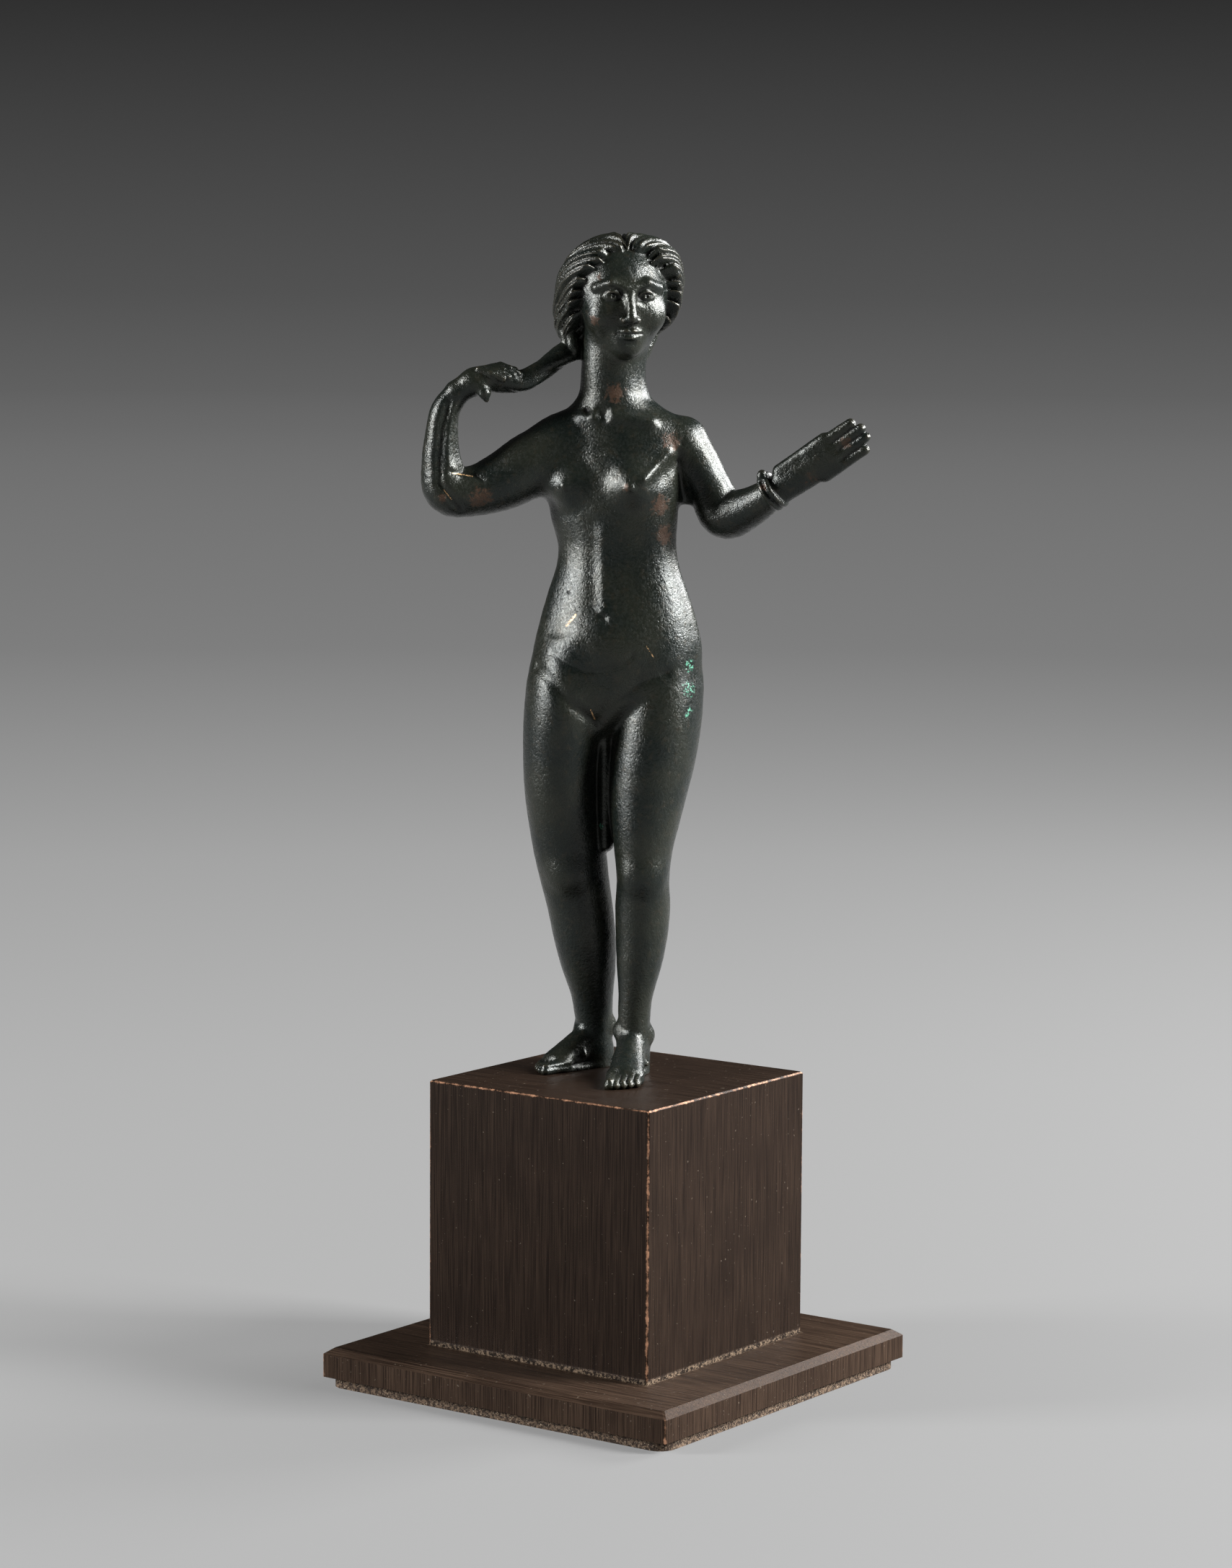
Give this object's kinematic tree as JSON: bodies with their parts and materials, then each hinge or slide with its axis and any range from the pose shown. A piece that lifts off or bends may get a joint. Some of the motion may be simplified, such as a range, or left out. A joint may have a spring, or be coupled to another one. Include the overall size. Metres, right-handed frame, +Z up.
{
  "type": "bronze Venus statuette",
  "caption": "Small cast bronze of a standing nude Venus holding a tress of her hair, on a cube plinth with a square plate and a cork pad.",
  "frame": {"origin": "centre of the cork pad's underside, which is the centre of the plate and the cube", "axes": "+Z up; X and Y along the sides of the cube and the plate; the figure's front is about 20 degrees from -Y towards +X"},
  "size_m": [0.0803, 0.075, 0.205],
  "materials": {
    "bronze_patina": "near-black green bronze patina, fine grained, softly glossy",
    "brushed_plinth": "dark brown patinated metal with upright brushing",
    "brushed_plate": "dark brown patinated metal, brushed, with worn coppery edges",
    "cork": "fine granular cork sheet"
  },
  "bodies": {
    "root": {"venus_figure": "bronze_patina", "cube_plinth": "brushed_plinth", "base_plate": "brushed_plate", "cork_pad": "cork"}
  },
  "joints": []
}
